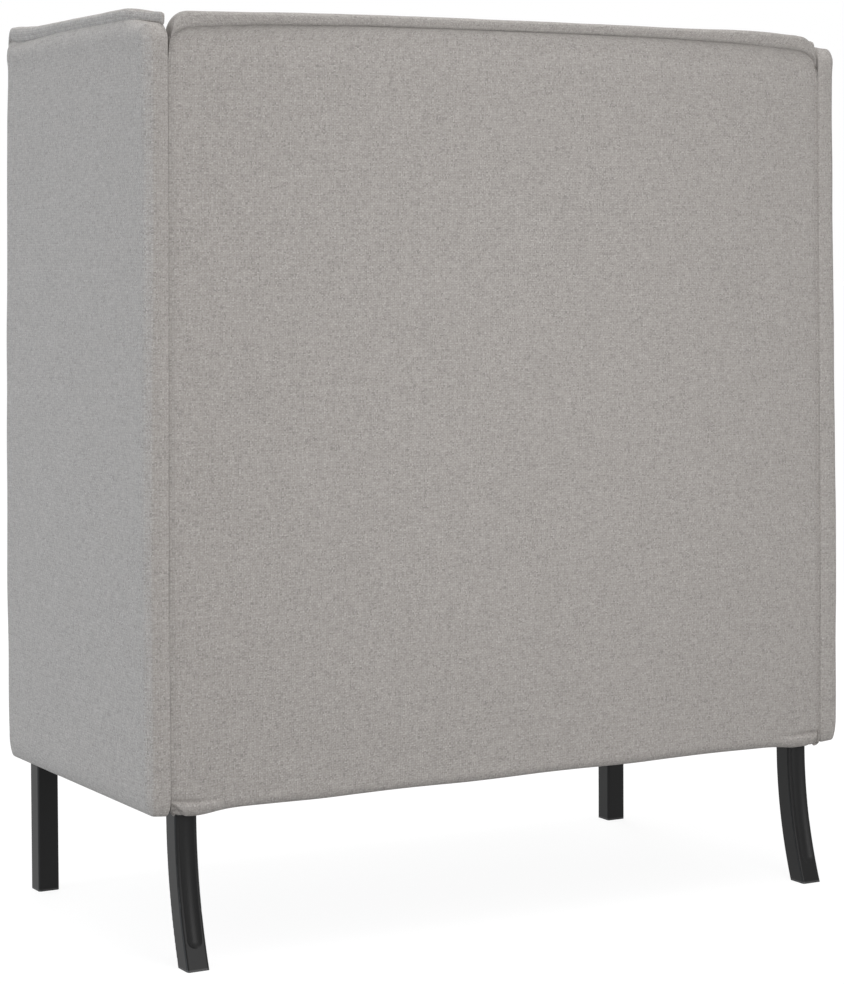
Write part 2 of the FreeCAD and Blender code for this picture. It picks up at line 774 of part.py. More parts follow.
wing_outer = wing_form(0, slab_front, band_base, 0)
wing_shell = wing_outer.cut(wing_form(cover, slab_front, band_base, 0))
wing_fill = wing_form(pad_inset, slab_front, band_base, 0)
wing_core = region(
    (board_in, board_out),
    (size("board_front"), size("wing_board_rear")),
    (size("board_low"), size("board_high")),
)
seam_x = half_seat + cover
middle_x = (board_in + board_out) / 2
everywhere = (-FAR, FAR)
doc.recompute()
side_cut = side_tool.Shape
dowel_cut = dowel_tool.Shape
pilot_cut = pilot_tool.Shape
back_cut = back_tool.Shape
outside = region((seam_x, FAR), everywhere, everywhere)
inside_face = region((-FAR, seam_x), everywhere, everywhere)
pair(soft("left_wing_outer_cover", wing_shell.common(outside)), "right_wing_outer_cover")
inner_cover = wing_shell.common(inside_face).cut(side_cut).cut(dowel_cut)
pair(soft("left_wing_inner_cover", inner_cover), "right_wing_inner_cover")
padding = wing_fill.cut(wing_core)
outer_pad = padding.common(region((middle_x, FAR), everywhere, everywhere))
inner_pad = padding.common(region((-FAR, middle_x), everywhere, everywhere))
pair(soft("left_wing_outer_pad", outer_pad), "right_wing_outer_pad")
pair(soft("left_wing_inner_pad", inner_pad.cut(side_cut).cut(dowel_cut)), "right_wing_inner_pad")

# Band of the wing: along the top, round the front corner and down the front.
clear_x = half_width + crown
clear_radius = band_radius + crown
arch = [
    (half_seat, band_base, 0, 0),
    (clear_x, band_base, 0, 0),
    (clear_x, panel_top, clear_radius, 0),
    (half_seat, panel_top, band_radius, 0),
]
band_top = prism("xz", arch, slab_front, back_rear)
turn_face = face_of("xz", arch)
turn_face.translate(V(0, slab_front, 0))
band_turn = turn_face.revolve(V(0, slab_front, band_base), V(1, 0, 0), 90)
front_arch = [
    (half_seat, wing_front, band_radius, 0),
    (clear_x, wing_front, clear_radius, 0),
    (clear_x, slab_front, 0, 0),
    (half_seat, slab_front, 0, 0),
]
band_down = prism("xy", front_arch, underside, band_base)
wing_band = band_top.fuse([band_turn, band_down]).removeSplitter()
wing_band = wing_band.common(wing_form(0, wing_front, panel_top, band_radius))
pair(soft("left_wing_band", wing_band), "right_wing_band")


def back_form(inset, top, corner):
    """Back panel drawn in by an inset: crowned faces, round top corners and hem."""
    x = half_back - inset
    y0 = back_front + inset
    y1 = back_rear - inset
    z0 = underside + inset
    z1 = top - inset
    edge = less(size("back_edge"), inset)
    low = less(hem, inset)
    high = less(corner, inset)
    plan = [(-x, y0 + crown, edge, crown), (x, y0 + crown, edge, 0)]
    plan += [(x, y1 - crown, edge, crown), (-x, y1 - crown, edge, 0)]
    end = [(-x, z0, edge, 0), (x, z0, edge, 0), (x, z1, high, 0), (-x, z1, high, 0)]
    ahead = y0 - crown
    astern = y1 + crown
    low += crown
    side = [(ahead, z0, low, 0), (astern, z0, low, 0), (astern, z1, 0, 0), (ahead, z1, 0, 0)]
    form = prism("xy", plan, z0, z1)
    form = form.common(prism("xz", end, ahead, astern))
    return form.common(prism("yz", side, -x, x))


back_corner = size("back_corner")
back_shell = back_form(0, band_base, back_corner).cut(back_form(cover, band_base, back_corner))
back_fill = back_form(pad_inset, band_base, back_corner)
board_front_y = size("back_board_front")
board_rear_y = size("board_rear")
stile_out = size("stile_out")
rail_top = size("back_rail_top")
behind = region(everywhere, (board_front_y, FAR), everywhere)
before = region(everywhere, (-FAR, board_front_y), everywhere)
outer_cover = back_shell.common(behind).cut(dowel_cut).cut(pilot_cut)
node(soft("back_outer_cover", outer_cover))
node(soft("back_inner_cover", back_shell.common(before).cut(back_cut)))
core_y = (board_front_y - size("strap_thickness"), board_rear_y)
back_core = region((-stile_out, stile_out), core_y, (size("board_low"), size("board_high")))
padding = back_fill.cut(back_core)
outer_pad = padding.common(behind).cut(dowel_cut).cut(pilot_cut)
node(soft("back_outer_pad", outer_pad))
above_rail = region(everywhere, (-FAR, board_front_y), (rail_top, FAR))
node(soft("back_foam", padding.common(above_rail)))

# Band of the back: along the top and round both corners.
arch = [
    (back_front - crown, band_base, 0, 0),
    (back_rear + crown, band_base, 0, 0),
    (back_rear + crown, panel_top, clear_radius, 0),
    (back_front - crown, panel_top, clear_radius, 0),
]
flat = half_back - back_corner
back_band = prism("yz", arch, -flat, flat)
for sign in (-1, 1):
    turn_face = face_of("yz", arch)
    turn_face.translate(V(sign * flat, 0, 0))
    centre = V(sign * flat, 0, band_base - back_corner)
    back_band = back_band.fuse(turn_face.revolve(centre, V(0, 1, 0), sign * 90))
trim = back_form(0, panel_top + back_corner, 1)
node(soft("back_band", back_band.removeSplitter().common(trim)))


def base_ring(inset, low, high):
    """Plan of the seat base drawn in by an inset, carried between two levels."""
    x = size("frame_half") + cover - inset
    y0 = size("base_front") + inset
    y1 = size("base_rear") - inset
    corner = less(size("base_corner"), inset)
    plan = [(-x, y0, corner, 0), (x, y0, corner, 0), (x, y1, 0, 0), (-x, y1, 0, 0)]
    return prism("xy", plan, low, high)


deck_high = size("deck_high")
base_cover = base_ring(0, underside, deck_high).cut(base_ring(cover, underside, deck_high))
node(soft("seat_base_cover", base_cover.cut(side_cut).cut(back_cut)))
front_zone = region(everywhere, (-FAR, size("frame_front")), everywhere)
node(soft("seat_base_foam", base_ring(pad_inset, underside, deck_high).common(front_zone)))


def cushion_form(inset, low):
    """Crowned box cushion drawn in by an inset, down to a level.

    It is lofted through upright sections across the seat, each with a crowned
    top and a bulging front and rear border, and its upright corners are rounded.
    """
    half = size("cushion_half") - inset
    bulge = size("cushion_bulge")
    y0 = size("cushion_front") + inset
    y1 = back_front - size("cushion_side_gap") - inset
    seam = size("cushion_low") + size("cushion_thickness") - inset
    sections = []
    for share in (-1, -0.5, 0, 0.5, 1):
        x = share * half
        rise = size("cushion_crown") * (1 - 0.7 * share**2)
        drawn = bulge * share**2
        front = y0 + drawn
        rear = y1 - drawn
        level = seam - drawn
        corners = [
            V(x, front + bulge, low),
            V(x, rear - bulge, low),
            V(x, rear - bulge, level),
            V(x, front + bulge, level),
        ]
        middle = (low + level) / 2
        edges = [
            Part.LineSegment(corners[0], corners[1]),
            Part.Arc(corners[1], V(x, rear, middle), corners[2]),
            Part.Arc(corners[2], V(x, (front + rear) / 2, level + rise), corners[3]),
            Part.Arc(corners[3], V(x, front, middle), corners[0]),
        ]
        sections.append(Part.Wire([edge.toShape() for edge in edges]))
    corner = less(size("cushion_corner"), inset)
    plan = [(-half, y0, corner, 0), (half, y0, corner, 0)]
    plan += [(half, y1, corner, 0), (-half, y1, corner, 0)]
    rounded = prism("xy", plan, low, seam + FAR)
    return Part.makeLoft(sections, True, False).common(rounded)


cushion_low = size("cushion_low")
cloth_top = cushion_low + size("deck_thickness")
hollow = cushion_form(cover, cushion_low - cover)
node(soft("seat_cushion_cover", cushion_form(0, cushion_low).cut(hollow)))
node(soft("seat_cushion_foam", cushion_form(pad_inset, cloth_top)))
cloth_zone = region(everywhere, everywhere, (cushion_low, cloth_top))
node(soft("seat_cushion_base_cloth", cushion_form(pad_inset, cushion_low).common(cloth_zone)))

doc.recompute()
for obj in doc.Objects:
    if "Invalid" in obj.State or "Error" in obj.State:
        raise RuntimeError(f"{obj.Name} did not recompute: {obj.State}")
for obj in nodes:
    if obj.Shape.isNull() or not obj.Shape.isValid():
        raise RuntimeError(f"{obj.Name} has no valid shape")
    obj.Shape.exportStep(f"parts/{obj.Label}.step")
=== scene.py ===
"""High-back sofa: upholstered wings, back and seat, loose bench cushion, black steel legs.

Metres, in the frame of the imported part: +Z up, the sitter faces -Y.
"""
import json
import math

import bmesh
import bpy
import numpy as np
from mathutils import Matrix, Vector


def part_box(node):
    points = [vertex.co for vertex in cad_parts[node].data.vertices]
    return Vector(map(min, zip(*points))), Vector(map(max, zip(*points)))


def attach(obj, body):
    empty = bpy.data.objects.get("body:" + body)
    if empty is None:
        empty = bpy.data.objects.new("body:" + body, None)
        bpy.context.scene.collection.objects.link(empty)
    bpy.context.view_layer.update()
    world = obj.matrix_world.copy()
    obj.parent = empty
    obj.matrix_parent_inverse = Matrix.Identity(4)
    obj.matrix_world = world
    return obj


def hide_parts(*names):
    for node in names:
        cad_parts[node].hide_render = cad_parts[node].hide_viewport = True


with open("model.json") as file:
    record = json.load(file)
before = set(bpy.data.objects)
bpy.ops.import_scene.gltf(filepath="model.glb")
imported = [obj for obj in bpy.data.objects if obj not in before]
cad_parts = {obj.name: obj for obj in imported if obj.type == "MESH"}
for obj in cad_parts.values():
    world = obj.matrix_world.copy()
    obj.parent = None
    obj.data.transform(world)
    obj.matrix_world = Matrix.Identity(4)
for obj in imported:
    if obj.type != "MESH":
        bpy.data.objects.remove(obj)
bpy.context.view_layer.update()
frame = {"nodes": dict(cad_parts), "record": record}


# Shapes worked out as arrays

def ease(t, pull):
    """Spacing from 0 to 1 drawn towards both ends: t minus pull * sin(2 pi t) / 2 pi."""
    return t - pull * np.sin(2 * np.pi * t) / (2 * np.pi)


def smooth(t):
    """Smooth step 3t^2 - 2t^3 with t held between 0 and 1."""
    t = np.clip(t, 0, 1)
    return t * t * (3 - 2 * t)


def rising(value, start, span):
    """Smooth step of a value: 0 up to the start, 1 from one span past it."""
    return smooth((value - start) / span)


def bell(value, centre, width):
    """Bell curve exp(-((value - centre) / width)^2), which is 1 at the centre."""
    return np.exp(-((value - centre) / width) ** 2)


def waves(u, v, seed):
    """Slow unevenness, mostly between -1 and 1: sines of u and v with unrelated lengths."""
    rates = [(3.1, 1.7), (-2.3, 4.3), (5.9, 2.9), (-7.1, 6.3), (9.7, -4.7)]
    phase, fading, usual_peak = 1.9 * seed, 0.4, 2.6
    total = np.zeros(np.broadcast(u, v).shape)
    for k, (a, b) in enumerate(rates):
        total = total + np.sin(a * u + b * v + phase * (k + 1)) / (1 + fading * k)
    return total / usual_peak


def puckers(s, gap, depth, reach, seed):
    """Short gathers along a seam: sines of the length s that fade with the gap to the seam.

    A long and a short gather lie over each other, and the spacing of each drifts.
    """
    phase = 2 * np.pi * s
    long_gather, long_drift = 0.031, 0.19
    short_gather, short_drift, short_share = 0.0173, 0.13, 0.7
    ripple = np.sin(phase / long_gather + 2.1 * np.sin(phase / long_drift + seed))
    short = np.sin(phase / short_gather + 1.7 * np.sin(phase / short_drift - seed))
    return depth * (ripple + short_share * short) * np.exp(-gap / reach)


def plan_rings(x0, x1, y0, y1, radii, sides, bend, pull=0.55):
    """Rounded rectangles in plan, one for each level.

    Bounds and radii are columns with one row per level. Each ring goes
    counter-clockwise: a quarter circle of bend steps at each corner, then a
    straight side of so many steps, eased towards its ends. Returns x, y and
    the outward directions, which are the same on every level.
    """
    corners = [(x0, y0, 1, 1), (x1, y0, -1, 1), (x1, y1, -1, -1), (x0, y1, 1, -1)]
    angles = np.pi + np.pi / 2 * np.arange(4)[:, None] + np.linspace(0, np.pi / 2, bend + 1)
    arcs = []
    for (x, y, right, up), radius, angle in zip(corners, radii, angles):
        arc_x = x + right * radius + radius * np.cos(angle)
        arc_y = y + up * radius + radius * np.sin(angle)
        arcs.append((arc_x, arc_y))
    xs, ys, directions = [], [], []
    for k in range(4):
        t = ease(np.linspace(0, 1, sides[k] + 1)[1:-1], pull)
        (ax, ay), (bx, by) = arcs[k], arcs[(k + 1) % 4]
        xs += [ax, ax[:, -1:] * (1 - t) + bx[:, :1] * t]
        ys += [ay, ay[:, -1:] * (1 - t) + by[:, :1] * t]
        directions += [angles[k], np.full(len(t), angles[k, -1])]
    angle = np.concatenate(directions)
    return np.hstack(xs), np.hstack(ys), np.cos(angle), np.sin(angle)


def column(*values):
    """Values one below the other, for one level each."""
    return np.concatenate([np.atleast_1d(np.asarray(v, float)) for v in values])[:, None]


def insets(depth, at_hem, at_top, walls, turn, shut):
    """Inset of each level of a padded panel, from its closed underside to its closed top.

    The underside closes over the depth, and a quarter round leads out to the walls,
    so many levels without an inset. Another leads in to the top, which closes likewise.
    """
    lower = [at_hem + (depth - at_hem) * shut, at_hem * (1 - np.sin(turn))]
    upper = [at_top * (1 - np.cos(turn)), at_top + (depth - at_top) * shut[::-1]]
    return column(*lower, np.zeros(walls), *upper)


def grid_faces(rows, columns, closed):
    """Quads of a grid of points stored row by row; closed joins the last column to the first."""
    i, j = np.meshgrid(np.arange(rows - 1), np.arange(columns if closed else columns - 1), indexing="ij")
    k = (j + 1) % columns
    quads = [i * columns + j, i * columns + k, (i + 1) * columns + k, (i + 1) * columns + j]
    return np.stack(quads, -1).reshape(-1, 4)


def lengths_along(points):
    """Length along each row of points from its first one, with the closing step at the end."""
    step = np.linalg.norm(np.roll(points, -1, axis=-2) - points, axis=-1)
    return np.concatenate([np.zeros(step.shape[:-1] + (1,)), np.cumsum(step, -1)], -1)


def grid_uv(points, closed):
    """Flat cloth coordinates in metres: length round the middle row, and length up the columns."""
    rows, columns = points.shape[:2]
    around = lengths_along(points[rows // 2])[: columns + (1 if closed else 0)]
    up = lengths_along(points.transpose(1, 0, 2))[:, :rows].mean(0)
    i, j = np.meshgrid(np.arange(rows - 1), np.arange(columns if closed else columns - 1), indexing="ij")
    u = np.stack([around[j], around[j + 1], around[j + 1], around[j]], -1)
    v = np.stack([up[i], up[i], up[i + 1], up[i + 1]], -1)
    return np.stack([u, v], -1).reshape(-1, 2)


def piece(name, points, body, material, closed=True):
    """Put a grid of points into a smooth mesh with cloth coordinates, and let it ride on a body."""
    rows, columns = points.shape[:2]
    mesh = bpy.data.meshes.new(name)
    mesh.from_pydata(points.reshape(-1, 3).tolist(), [], grid_faces(rows, columns, closed).tolist())
    layer = mesh.uv_layers.new(name="cloth")
    layer.data.foreach_set("uv", grid_uv(points, closed).ravel())
    return dress(name, mesh, body, material)


def dress(name, mesh, body, material):
    """Join doubled points, shade smooth, and give a mesh its material, slot and body."""
    work = bmesh.new()
    work.from_mesh(mesh)
    bmesh.ops.remove_doubles(work, verts=work.verts, dist=2e-6)
    bmesh.ops.dissolve_degenerate(work, edges=work.edges, dist=1e-7)
    bmesh.ops.recalc_face_normals(work, faces=work.faces)
    work.to_mesh(mesh)
    work.free()
    mesh.polygons.foreach_set("use_smooth", np.ones(len(mesh.polygons), dtype=bool))
    mesh.materials.append(material)
    obj = bpy.data.objects.new(name, mesh)
    bpy.context.scene.collection.objects.link(obj)
    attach(obj, body)
    return obj


# Finishes

def new_group(name, inputs, outputs):
    """Empty shader node group with named sockets."""
    group = bpy.data.node_groups.new(name, "ShaderNodeTree")
    for direction, sockets in (("INPUT", inputs), ("OUTPUT", outputs)):
        for label, kind, value in sockets:
            socket = group.interface.new_socket(label, in_out=direction, socket_type=kind)
            if value is not None:
                socket.default_value = value
    return group, group.nodes.new("NodeGroupInput"), group.nodes.new("NodeGroupOutput")


def wire(tree, kind, values=None, **settings):
    """Add a node with its settings; a value that is a socket is linked to the input."""
    made = tree.nodes.new(kind)
    for key, value in settings.items():
        setattr(made, key, value)
    for key, value in (values or {}).items():
        if isinstance(value, bpy.types.NodeSocket):
            tree.links.new(value, made.inputs[key])
        else:
            made.inputs[key].default_value = value
    return made


def sums(tree, operation, *values):
    """Output of a Math node."""
    return wire(tree, "ShaderNodeMath", dict(enumerate(values)), operation=operation).outputs[0]


def weave_group():
    """Basket weave of slubby yarn on cloth coordinates.

    Height is a half sine across each yarn, lifted where the yarn passes over.
    Tone runs along each yarn in streaks, one row of noise for each yarn; its cube
    is added, so that a few streaks stand out.
    """
    wander_scale, wander_depth = 130.0, 0.0009
    lying, lifted = 0.4, 0.6
    warp_row, weft_row, weft_level = 7.31, 5.77, 9.0
    streak_rate, stand_out = 0.13, 16.0
    floats = "NodeSocketFloat"
    inputs = [("Cloth", "NodeSocketVector", None), ("Pitch", floats, 0.0022)]
    outputs = [("Height", floats, None), ("Tone", floats, None)]
    tree, start, end = new_group("basket_weave", inputs, outputs)
    cloth, pitch = start.outputs["Cloth"], start.outputs["Pitch"]

    def vector(operation, values):
        return wire(tree, "ShaderNodeVectorMath", values, operation=operation).outputs[0]

    def hump(value):
        return sums(tree, "SINE", sums(tree, "MULTIPLY", sums(tree, "FRACT", value), math.pi))

    def raised(value):
        return sums(tree, "MULTIPLY_ADD", hump(value), lifted, lying)

    def streaks(x, y, level):
        along = wire(tree, "ShaderNodeCombineXYZ", {0: x, 1: y, 2: level}).outputs[0]
        settings = {"Vector": along, "Scale": 1.0, "Detail": 3.0, "Roughness": 0.6}
        return wire(tree, "ShaderNodeTexNoise", settings).outputs["Fac"]

    wander = wire(tree, "ShaderNodeTexNoise", {"Vector": cloth, "Scale": wander_scale, "Detail": 2.0})
    drift = vector("SUBTRACT", {0: wander.outputs["Color"], 1: (0.5, 0.5, 0.5)})
    moved = vector("ADD", {0: cloth, 1: vector("SCALE", {0: drift, "Scale": wander_depth})})
    split = wire(tree, "ShaderNodeSeparateXYZ", {0: moved})
    u = sums(tree, "DIVIDE", split.outputs["X"], pitch)
    v = sums(tree, "DIVIDE", split.outputs["Y"], pitch)
    half_u, half_v = sums(tree, "MULTIPLY", u, 0.5), sums(tree, "MULTIPLY", v, 0.5)
    check = sums(tree, "ADD", sums(tree, "FLOOR", half_u), sums(tree, "FLOOR", half_v))
    over = sums(tree, "PINGPONG", check, 1.0)
    warp = sums(tree, "MULTIPLY", hump(u), raised(half_v))
    weft = sums(tree, "MULTIPLY", hump(v), raised(half_u))
    height = wire(tree, "ShaderNodeMix", {0: over, 2: warp, 3: weft}).outputs[0]
    yarn_u = sums(tree, "MULTIPLY", sums(tree, "FLOOR", u), warp_row)
    yarn_v = sums(tree, "MULTIPLY", sums(tree, "FLOOR", v), weft_row)
    warp_tone = streaks(yarn_u, sums(tree, "MULTIPLY", v, streak_rate), 0.0)
    weft_tone = streaks(sums(tree, "MULTIPLY", u, streak_rate), yarn_v, weft_level)
    tone = wire(tree, "ShaderNodeMix", {0: over, 2: warp_tone, 3: weft_tone}).outputs[0]
    off = sums(tree, "SUBTRACT", tone, 0.5)
    cube = sums(tree, "MULTIPLY", sums(tree, "MULTIPLY", off, off), off)
    tree.links.new(height, end.inputs["Height"])
    tree.links.new(sums(tree, "MULTIPLY_ADD", cube, stand_out, tone), end.inputs["Tone"])
    return tree


def material_with(name):
    """Empty material, its node tree and its shader."""
    made = bpy.data.materials.new(name)
    made.use_nodes = True
    tree = made.node_tree
    return made, tree, tree.nodes["Principled BSDF"]


def ramp(tree, factor, stops):
    """Colour ramp with stops of (place, colour)."""
    made = wire(tree, "ShaderNodeValToRGB", {0: factor})
    elements = made.color_ramp.elements
    for spot, (place, colour) in zip((elements[0], elements[1]), (stops[0], stops[-1])):
        spot.position, spot.color = place, (*colour, 1)
    for place, colour in stops[1:-1]:
        elements.new(place).color = (*colour, 1)
    return made.outputs[0]


def cloth_finish(name, weave, dark, mid, light, pitch):
    """Woven cover cloth: streaky yarns, with painted shade in the hollows of the weave and a painted
    highlight on its crowns.
    """
    made, tree, shader = material_with(name)
    uv = wire(tree, "ShaderNodeUVMap", uv_map="cloth")
    cloth = wire(tree, "ShaderNodeGroup", node_tree=weave)
    tree.links.new(uv.outputs[0], cloth.inputs["Cloth"])
    cloth.inputs["Pitch"].default_value = pitch
    height = cloth.outputs["Height"]
    colour = ramp(tree, cloth.outputs["Tone"], [(0.28, dark), (0.5, mid), (0.72, light)])
    # Painted shade and highlight: the base colour is multiplied darker where the weave lies low and lighter
    # where it stands high.
    hollow, even, crown = (0.66, 0.655, 0.65), (1, 1, 1), (1.06, 1.06, 1.06)
    shade = ramp(tree, height, [(0.0, hollow), (0.5, even), (1.0, crown)])
    layers = {0: 1.0, 6: colour, 7: shade}
    both = wire(tree, "ShaderNodeMix", layers, data_type="RGBA", blend_type="MULTIPLY")
    tree.links.new(both.outputs[2], shader.inputs["Base Color"])
    bump = wire(tree, "ShaderNodeBump", {"Height": height, "Strength": 0.55, "Distance": 0.0006})
    tree.links.new(bump.outputs[0], shader.inputs["Normal"])
    shader.inputs["Roughness"].default_value = 0.92
    shader.inputs["Specular IOR Level"].default_value = 0.25
    shader.inputs["Sheen Weight"].default_value = 0.12
    shader.inputs["Sheen Roughness"].default_value = 0.5
    return made


def plain_finish(name, low, high, scale, roughness, stretch=(1, 1, 1), metallic=0.0, bump=0.2, depth=0.0002):
    """Mottled finish on object coordinates: noise between two colours, and the same noise as bump."""
    made, tree, shader = material_with(name)
    place = wire(tree, "ShaderNodeTexCoord")
    turned = wire(tree, "ShaderNodeMapping", {"Vector": place.outputs["Object"], "Scale": stretch})
    noise = wire(tree, "ShaderNodeTexNoise", {"Vector": turned.outputs[0], "Scale": scale, "Detail": 5.0})
    mottle = noise.outputs["Fac"]
    colour = ramp(tree, mottle, [(0.3, low), (0.7, high)])
    tree.links.new(colour, shader.inputs["Base Color"])
    spread = 0.06
    rough = wire(tree, "ShaderNodeMapRange", {0: mottle, 3: roughness - spread, 4: roughness + spread})
    tree.links.new(rough.outputs[0], shader.inputs["Roughness"])
    raised = wire(tree, "ShaderNodeBump", {"Height": mottle, "Strength": bump, "Distance": depth})
    tree.links.new(raised.outputs[0], shader.inputs["Normal"])
    shader.inputs["Metallic"].default_value = metallic
    return made


basket_weave = weave_group()
cover_cloth = cloth_finish(
    "grey_basket_cloth",
    basket_weave,
    dark=(0.30, 0.285, 0.27),
    mid=(0.41, 0.385, 0.365),
    light=(0.50, 0.475, 0.455),
    pitch=0.0018,
)
satin_black = plain_finish(
    "satin_black_steel",
    (0.004, 0.004, 0.0042),
    (0.007, 0.007, 0.0072),
    scale=600.0,
    roughness=0.4,
    bump=0.08,
    depth=0.0001,
)
satin_black.node_tree.nodes["Principled BSDF"].inputs["Specular IOR Level"].default_value = 0.22
lining_cloth = plain_finish("black_lining", (0.012, 0.012, 0.013), (0.03, 0.03, 0.031), 900.0, roughness=0.9)
glide_nylon = plain_finish("black_nylon", (0.014, 0.014, 0.014), (0.02, 0.02, 0.02), 400.0, roughness=0.5)
grain = (1, 1, 0.08)
pine = plain_finish("frame_pine", (0.42, 0.27, 0.14), (0.62, 0.44, 0.26), 30.0, roughness=0.65, stretch=grain)
zinc = plain_finish("zinc_steel", (0.5, 0.5, 0.49), (0.68, 0.68, 0.66), 250.0, roughness=0.35, metallic=1.0)
strap_cloth = plain_finish("jute_strap", (0.22, 0.17, 0.11), (0.36, 0.29, 0.2), 700.0, roughness=0.9)
foam_finish = plain_finish("cream_foam", (0.62, 0.56, 0.4), (0.72, 0.66, 0.5), 500.0, roughness=0.95)

by_slot = {
    "leg_steel": satin_black,
    "glide_plastic": glide_nylon,
    "frame_wood": pine,
    "fastener_steel": zinc,
    "webbing": strap_cloth,
    "foam": foam_finish,
    "lining_cloth": lining_cloth,
    "cover_fabric": cover_cloth,
}
slot_of = {part["node"]: part["material_slot"] for part in frame["record"]["subparts"]}


# Wings and what they share with the back

wing_setback = 0.007  # from the front of a wing's band to the front of the wing under it
inner_lean, outer_lean = 0.0045, 0.0065  # inward lean of inner and outer faces at the top


def lean(z):
    """Share of the inward lean of the upright panels: none below 0.5 m, all of it near the top."""
    return rising(z, start=0.5, span=0.75)


def valley(gap, behind):
    """Shallow roll of a rear face towards the seam between wing and back.

    Deepest at the edge, fading over the gap to it, and only near the rear face.
    """
    depth = 0.0024
    return depth * (1 - rising(gap, start=0, span=0.011)) * rising(behind, start=-0.012, span=0.010)


def front_sag(y, front):
    """How far the top seam of a wing sags behind its front corner: a long hump, nothing at the corner."""
    depth, place = 0.0055, 0.05
    behind = y - front
    return depth * rising(behind, start=0, span=place) * bell(behind, centre=place, width=0.1)


def wing(side, sign):
    """Padded wing: rings in plan carried up a profile of hem, wall and drawn-in top.

    The top sags behind its front corner and drops at its rear end. The outer face
    swells, most in a pillow under the band, and the rear face rolls in to the back.
    """
    inner_box, outer_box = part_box(side + "_wing_inner_cover"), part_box(side + "_wing_outer_cover")
    inner = min(abs(inner_box[0].x), abs(inner_box[1].x))
    outer = max(abs(outer_box[0].x), abs(outer_box[1].x))
    front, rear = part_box(side + "_wing_band")[0].y + wing_setback, outer_box[1].y
    below, above = 0.003, 0.006
    floor, top = outer_box[0].z - below, outer_box[1].z + above
    half = (outer - inner) / 2
    turn = np.linspace(0, np.pi / 2, 9)
    shut = np.linspace(1, 0, 5)[:-1]
    hem, drawn, wall_levels = 0.034, 0.020, 120
    t = ease(np.linspace(0, 1, wall_levels + 2)[1:-1], pull=0.35)
    wall = floor + hem + (top - floor - hem - drawn) * t
    levels = [np.full(len(shut), floor), floor + hem * (1 - np.cos(turn)), wall]
    z = column(*levels, top - drawn + drawn * np.sin(turn), np.full(len(shut), top))
    out = insets(half, at_hem=0.014, at_top=0.016, walls=wall_levels, turn=turn, shut=shut)
    inn = insets(half, at_hem=0.006, at_top=0.006, walls=wall_levels, turn=turn, shut=shut)
    ends = insets(half, at_hem=0.008, at_top=0.012, walls=wall_levels, turn=turn, shut=shut)

    height = (z - floor) / (top - floor)
    slope = lean(z)
    belly_depth, front_share, press = 0.0025, 0.8, 0.0004
    belly = belly_depth * 4 * height * (1 - height)
    left = inner + inn - press - inner_lean * slope
    right = outer - out - outer_lean * slope
    inner_front, inner_rear = 0.008, 0.0015
    outer_front = 0.010 + 0.010 * rising(z - top, start=-0.14, span=0.10)
    outer_rear = 0.015 + 0.003 * slope
    corners = (inner_front, outer_front, outer_rear, inner_rear)
    radii = [np.maximum(r - np.maximum(out, inn), 0.0) for r in corners]
    bounds = (left, right, front + front_share * ends - belly, rear - ends)
    x, y, nx, ny = plan_rings(*bounds, radii, sides=(8, 90, 8, 90), bend=8)

    z = z + 0 * x
    near_rear = rising(y - rear, start=-0.10, span=0.10)
    rear_edge = rising(y - rear, start=-0.014, span=0.014)
    rear_drop, edge_drop = 0.014, 0.005
    drop = rear_drop * near_rear + edge_drop * rear_edge + front_sag(y, front)
    z = z - drop * rising(z - top, start=-0.12, span=0.11)
    rear_flare = 0.0022 * near_rear * rising(z - top, start=-0.06, span=0.03)
    x = x + rear_flare * (x - inner) / (outer - inner)
    hem_corner = rising(y - rear, start=-0.04, span=0.03) * (1 - rising(x - inner, start=0, span=0.03))
    hem_drop = 0.002 * hem_corner * (1 - rising(z - floor, start=0, span=0.06))
    z = z - hem_drop

    around = y + 0.7 * x  # keeps growing round the corners
    outer_face, both_faces = nx > 0.5, np.abs(nx) > 0.5
    crown_depth, crown_loss, hollow, uneven, pillow_depth = 0.0028, 0.8, 0.0018, 0.0007, 0.0018
    off_middle = (y - (front + rear) / 2) / (rear - front) * 2
    crown = crown_depth * (1 - crown_loss * slope) * (1 - off_middle ** 2)
    pillow = pillow_depth * bell(top - z, centre=0.030, width=0.013) * (1 - near_rear)
    swell = (crown - hollow + pillow) * outer_face + uneven * waves(9 * around, 7 * z, seed=1.3 + sign)
    gathers = puckers(around, np.abs(top - z), depth=0.0006, reach=0.02, seed=sign)
    swell = swell + gathers * both_faces
    against_back = rising(y - rear, start=-0.12, span=0.03) * (nx < 0)
    inside = smooth(1 - np.minimum(out, inn) / 0.005)
    swell = swell * (1 - against_back) * inside
    x = x + nx * swell
    y = y + ny * swell
    y = y - valley(x - left, y - rear)
    points = np.stack([sign * x, y, z], -1)
    made = piece(side + "_wing", points, "frame", cover_cloth)
    padding = ("outer_cover", "inner_cover", "outer_pad", "inner_pad")
    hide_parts(*(side + "_wing_" + part for part in padding))
    return made


